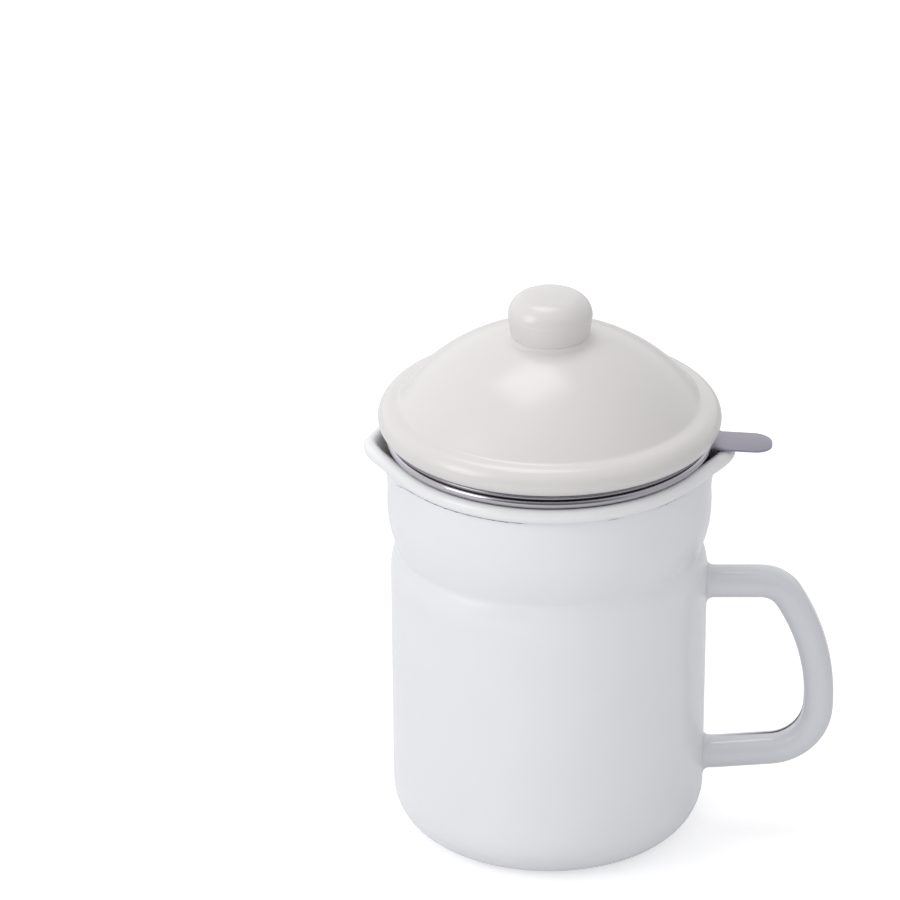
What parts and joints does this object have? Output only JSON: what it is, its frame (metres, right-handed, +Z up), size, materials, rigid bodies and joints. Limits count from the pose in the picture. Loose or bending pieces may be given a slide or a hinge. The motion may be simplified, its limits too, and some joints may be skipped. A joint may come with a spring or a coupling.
{
  "type": "bacon grease container",
  "caption": "White enamelled pot with pour lips and a side handle, a stepped steel frame for a filter cartridge, a mesh strainer and a domed lid with a knob; it comes apart upwards.",
  "frame": {"origin": "centre of the pot's flat base, on the surface it stands on", "axes": "+Z up along the pot's axis, +X towards the handle and the frame's finger tab, -X towards the pour lip; XZ is the mirror plane"},
  "size_m": [0.158, 0.1146, 0.1953],
  "materials": {
    "enamel": "glossy white enamel on steel sheet",
    "stainless": "satin stainless steel, polished on the bead",
    "wire_mesh": "fine plain-woven stainless wire"
  },
  "bodies": {
    "pot": {"pot_body": "enamel", "handle": "enamel"},
    "frame": {"cartridge_frame": "stainless", "frame_tab": "stainless"},
    "strainer": {"strainer_rim": "stainless", "strainer_mesh": "wire_mesh"},
    "lid": {"lid_shell": "enamel", "lid_knob": "enamel"}
  },
  "joints": [
    {"name": "frame_lift", "type": "slide", "parent": "pot", "child": "frame", "axis": [0, 0, 1], "range_m": [0, 0.0321]},
    {"name": "strainer_lift", "type": "slide", "parent": "frame", "child": "strainer", "axis": [0, 0, 1], "range_m": [0, 0.0257]},
    {"name": "lid_lift", "type": "slide", "parent": "strainer", "child": "lid", "axis": [0, 0, 1], "range_m": [0, 0.0326]}
  ]
}
